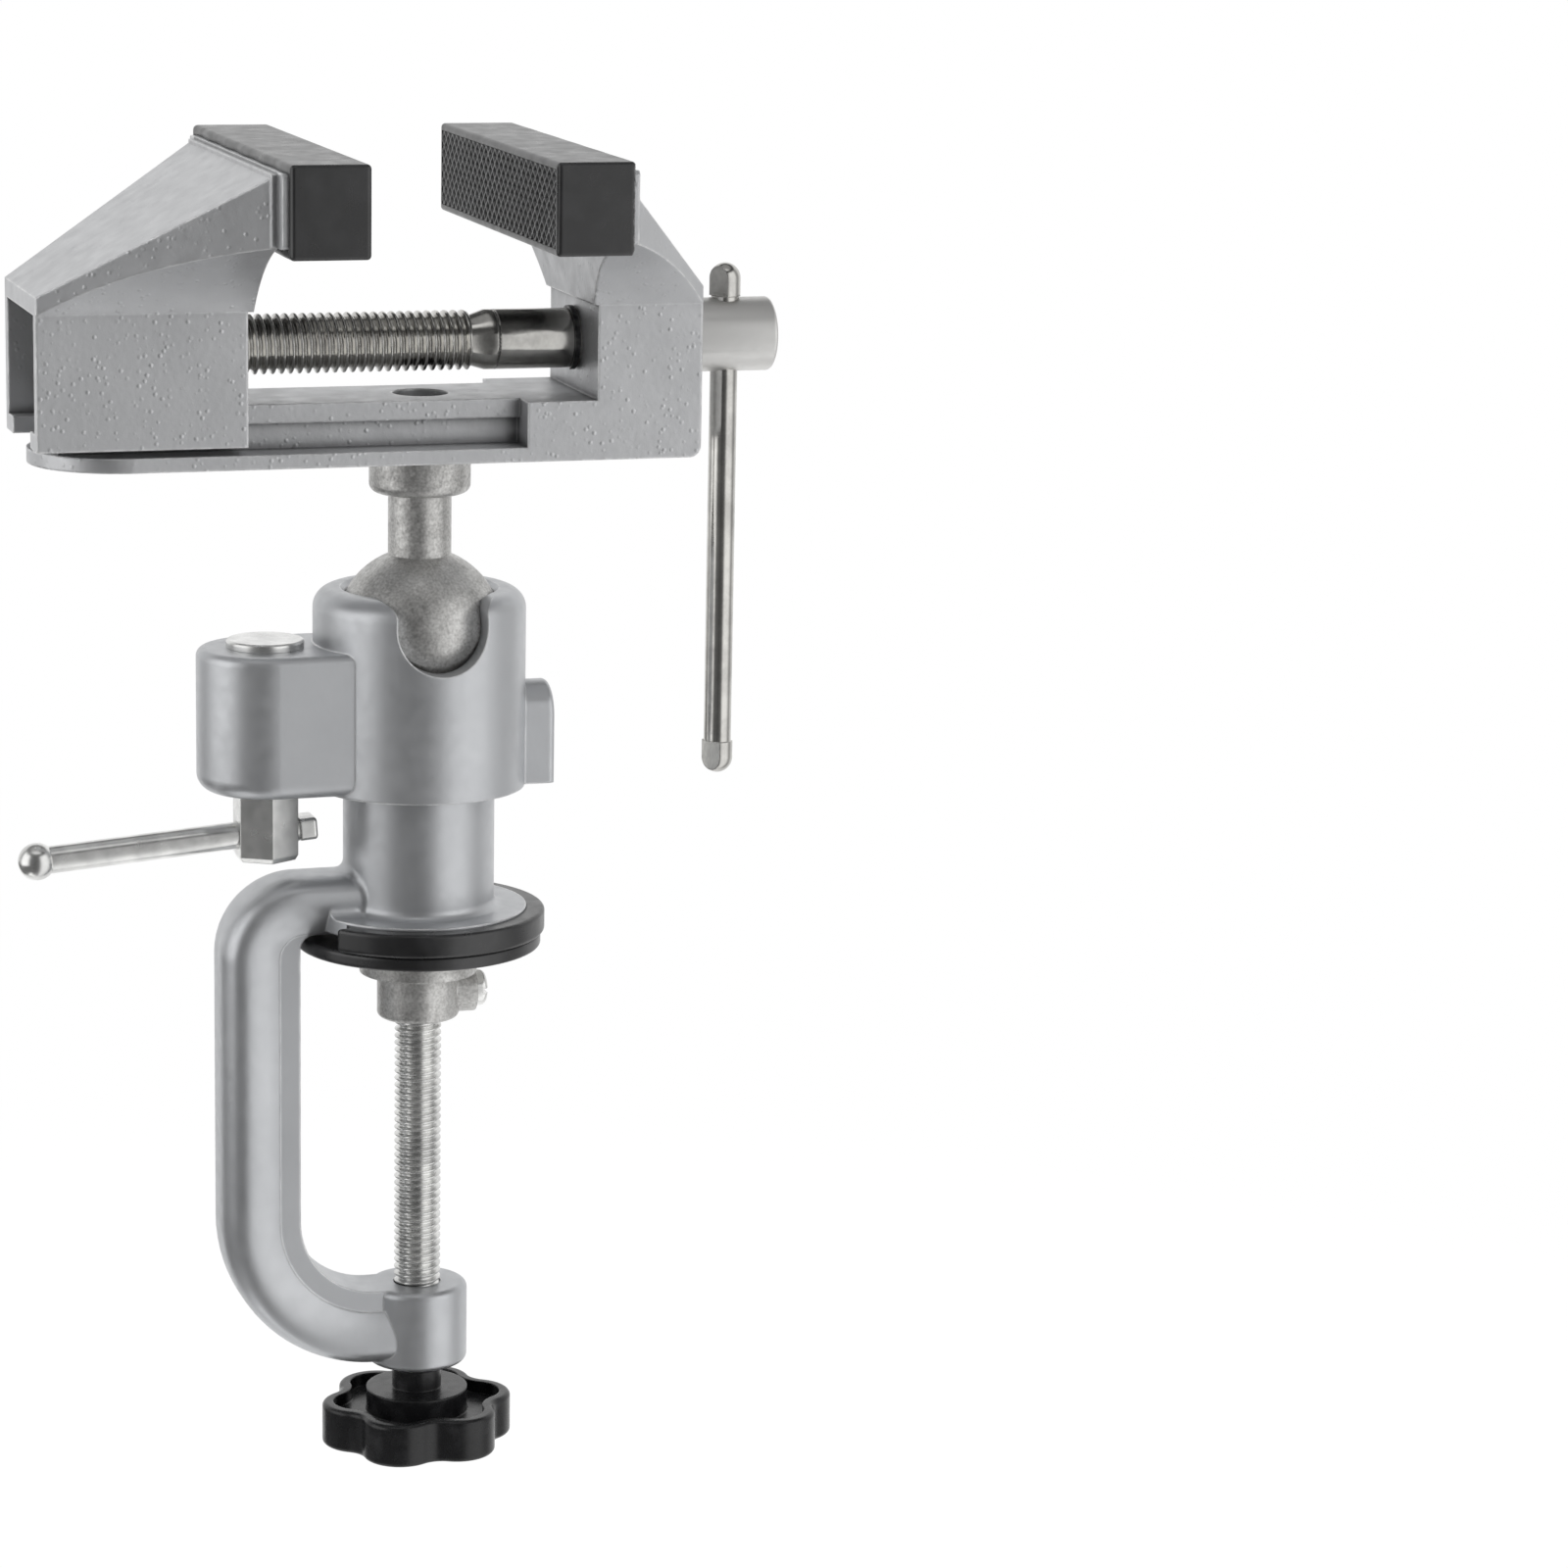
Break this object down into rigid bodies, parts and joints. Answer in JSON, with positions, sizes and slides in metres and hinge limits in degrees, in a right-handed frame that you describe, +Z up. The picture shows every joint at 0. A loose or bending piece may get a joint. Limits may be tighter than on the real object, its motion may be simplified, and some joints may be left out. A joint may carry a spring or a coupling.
{
  "type": "ball vise",
  "caption": "Small cast bench vise on a lockable ball stud and swivelling socket, with a C-frame that clamps to a table edge by a screw and star knob",
  "frame": {"origin": "On the post axis, in the plane of the table top, which is the underside of the upper rubber pad.", "axes": "+Z up along the post, +X along the lead screw from the moving jaw to the fixed jaw, -Y to the front, where the socket's notch is."},
  "size_m": [0.1288, 0.075, 0.2246],
  "materials": {
    "hammered_paint": "pebbled silver-grey paint on castings, worn bright on edges",
    "silver_paint": "smooth satin silver paint on castings",
    "raw_casting": "raw grey die casting with a fine speckle",
    "nickel_steel": "bright nickel plating",
    "zinc_steel": "zinc plating, slightly dull",
    "dark_steel": "oiled dark steel",
    "black_rubber": "moulded black rubber",
    "black_plastic": "moulded black plastic with a satin sheen"
  },
  "bodies": {
    "frame": {"c_frame": "silver_paint", "table_pad": "black_rubber"},
    "housing": {"socket_housing": "silver_paint", "housing_retaining_screw": "dark_steel", "ball_seat": "raw_casting"},
    "camshaft": {"lock_camshaft": "zinc_steel"},
    "lock_lever": {"lock_bar": "zinc_steel"},
    "pin": {"push_pin": "zinc_steel"},
    "ball": {"ball_stud": "raw_casting", "stud_fixing_screw": "dark_steel", "stud_lock_washer": "dark_steel"},
    "head": {"vise_bed": "hammered_paint", "fixed_jaw_pad": "black_rubber"},
    "slide_jaw": {"moving_jaw": "hammered_paint", "moving_jaw_pad": "black_rubber", "jaw_nut": "dark_steel"},
    "screw": {"lead_screw": "nickel_steel", "screw_retaining_ring": "dark_steel"},
    "handle_bar": {"tommy_bar": "nickel_steel"},
    "pressure": {"pressure_pad": "black_rubber", "swivel_socket": "raw_casting", "socket_retaining_screw": "nickel_steel"},
    "clamp_spindle": {"clamp_screw": "zinc_steel", "star_knob": "black_plastic"}
  },
  "joints": [
    {"name": "housing_swivel", "type": "hinge", "parent": "frame", "child": "housing", "pos_m": [0, 0, 0.03], "axis": [0, 0, 1], "continuous": true},
    {"name": "cam_turn", "type": "hinge", "parent": "housing", "child": "camshaft", "pos_m": [-0.0264, 0, 0.03], "axis": [0, 0, 1], "range_deg": [0, 90]},
    {"name": "lever_slide", "type": "slide", "parent": "camshaft", "child": "lock_lever", "axis": [0.9969, 0, 0.0785], "range_m": [0, 0.0045]},
    {"name": "pin_push", "type": "slide", "parent": "housing", "child": "pin", "axis": [1, 0, 0], "range_m": [0, 0.0006]},
    {"name": "ball_tilt", "type": "hinge", "parent": "housing", "child": "ball", "pos_m": [0, 0, 0.0518], "axis": [1, 0, 0], "range_deg": [-38, 85]},
    {"name": "head_spin", "type": "hinge", "parent": "ball", "child": "head", "pos_m": [0, 0, 0.082], "axis": [0, 0, 1], "range_deg": [-180, 180]},
    {"name": "jaw_slide", "type": "slide", "parent": "head", "child": "slide_jaw", "axis": [1, 0, 0], "range_m": [-0.014, 0.0299]},
    {"name": "screw_turn", "type": "hinge", "parent": "head", "child": "screw", "pos_m": [0.04, 0, 0.1006], "axis": [1, 0, 0], "range_deg": [-7204, 3390]},
    {"name": "bar_slide", "type": "slide", "parent": "screw", "child": "handle_bar", "axis": [0, 0, 1], "range_m": [0, 0.0635]},
    {"name": "clamp_travel", "type": "slide", "parent": "frame", "child": "pressure", "axis": [0, 0, 1], "range_m": [-0.045, 0]},
    {"name": "clamp_turn", "type": "hinge", "parent": "pressure", "child": "clamp_spindle", "pos_m": [0, 0, -0.03], "axis": [0, 0, 1], "range_deg": [-12980, 20]}
  ],
  "couplings": [
    {"joint": "pin_push", "follows": "cam_turn", "m_per_rad": 0.00038197},
    {"joint": "screw_turn", "follows": "jaw_slide", "rad_per_m": -4188.8},
    {"joint": "clamp_turn", "follows": "clamp_travel", "rad_per_m": 5026.5}
  ]
}
